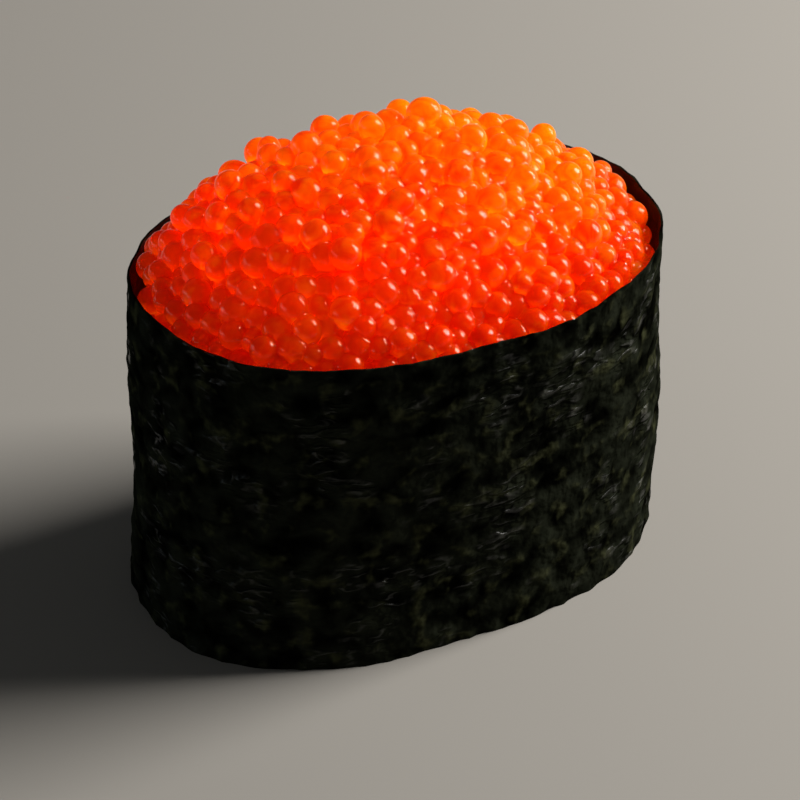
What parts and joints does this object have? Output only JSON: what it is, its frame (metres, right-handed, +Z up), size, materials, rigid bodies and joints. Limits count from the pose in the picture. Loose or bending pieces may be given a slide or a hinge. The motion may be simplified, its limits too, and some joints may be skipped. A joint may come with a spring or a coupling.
{
  "type": "gunkan sushi",
  "caption": "Oval gunkan sushi: pressed rice in an upright band of dried seaweed, heaped with glossy orange fish roe.",
  "frame": {"origin": "middle of the underside, where the sushi stands on its plate", "axes": "+Z up; +X along the length of the oval; +Y across it"},
  "size_m": [0.054, 0.0362, 0.0452],
  "materials": {
    "nori": "toasted dried seaweed, satin",
    "rice": "cooked rice, moist",
    "roe": "wet fish roe, translucent"
  },
  "bodies": {
    "root": {"nori_band": "nori", "rice_bed": "rice", "roe_heap": "roe"}
  },
  "joints": []
}
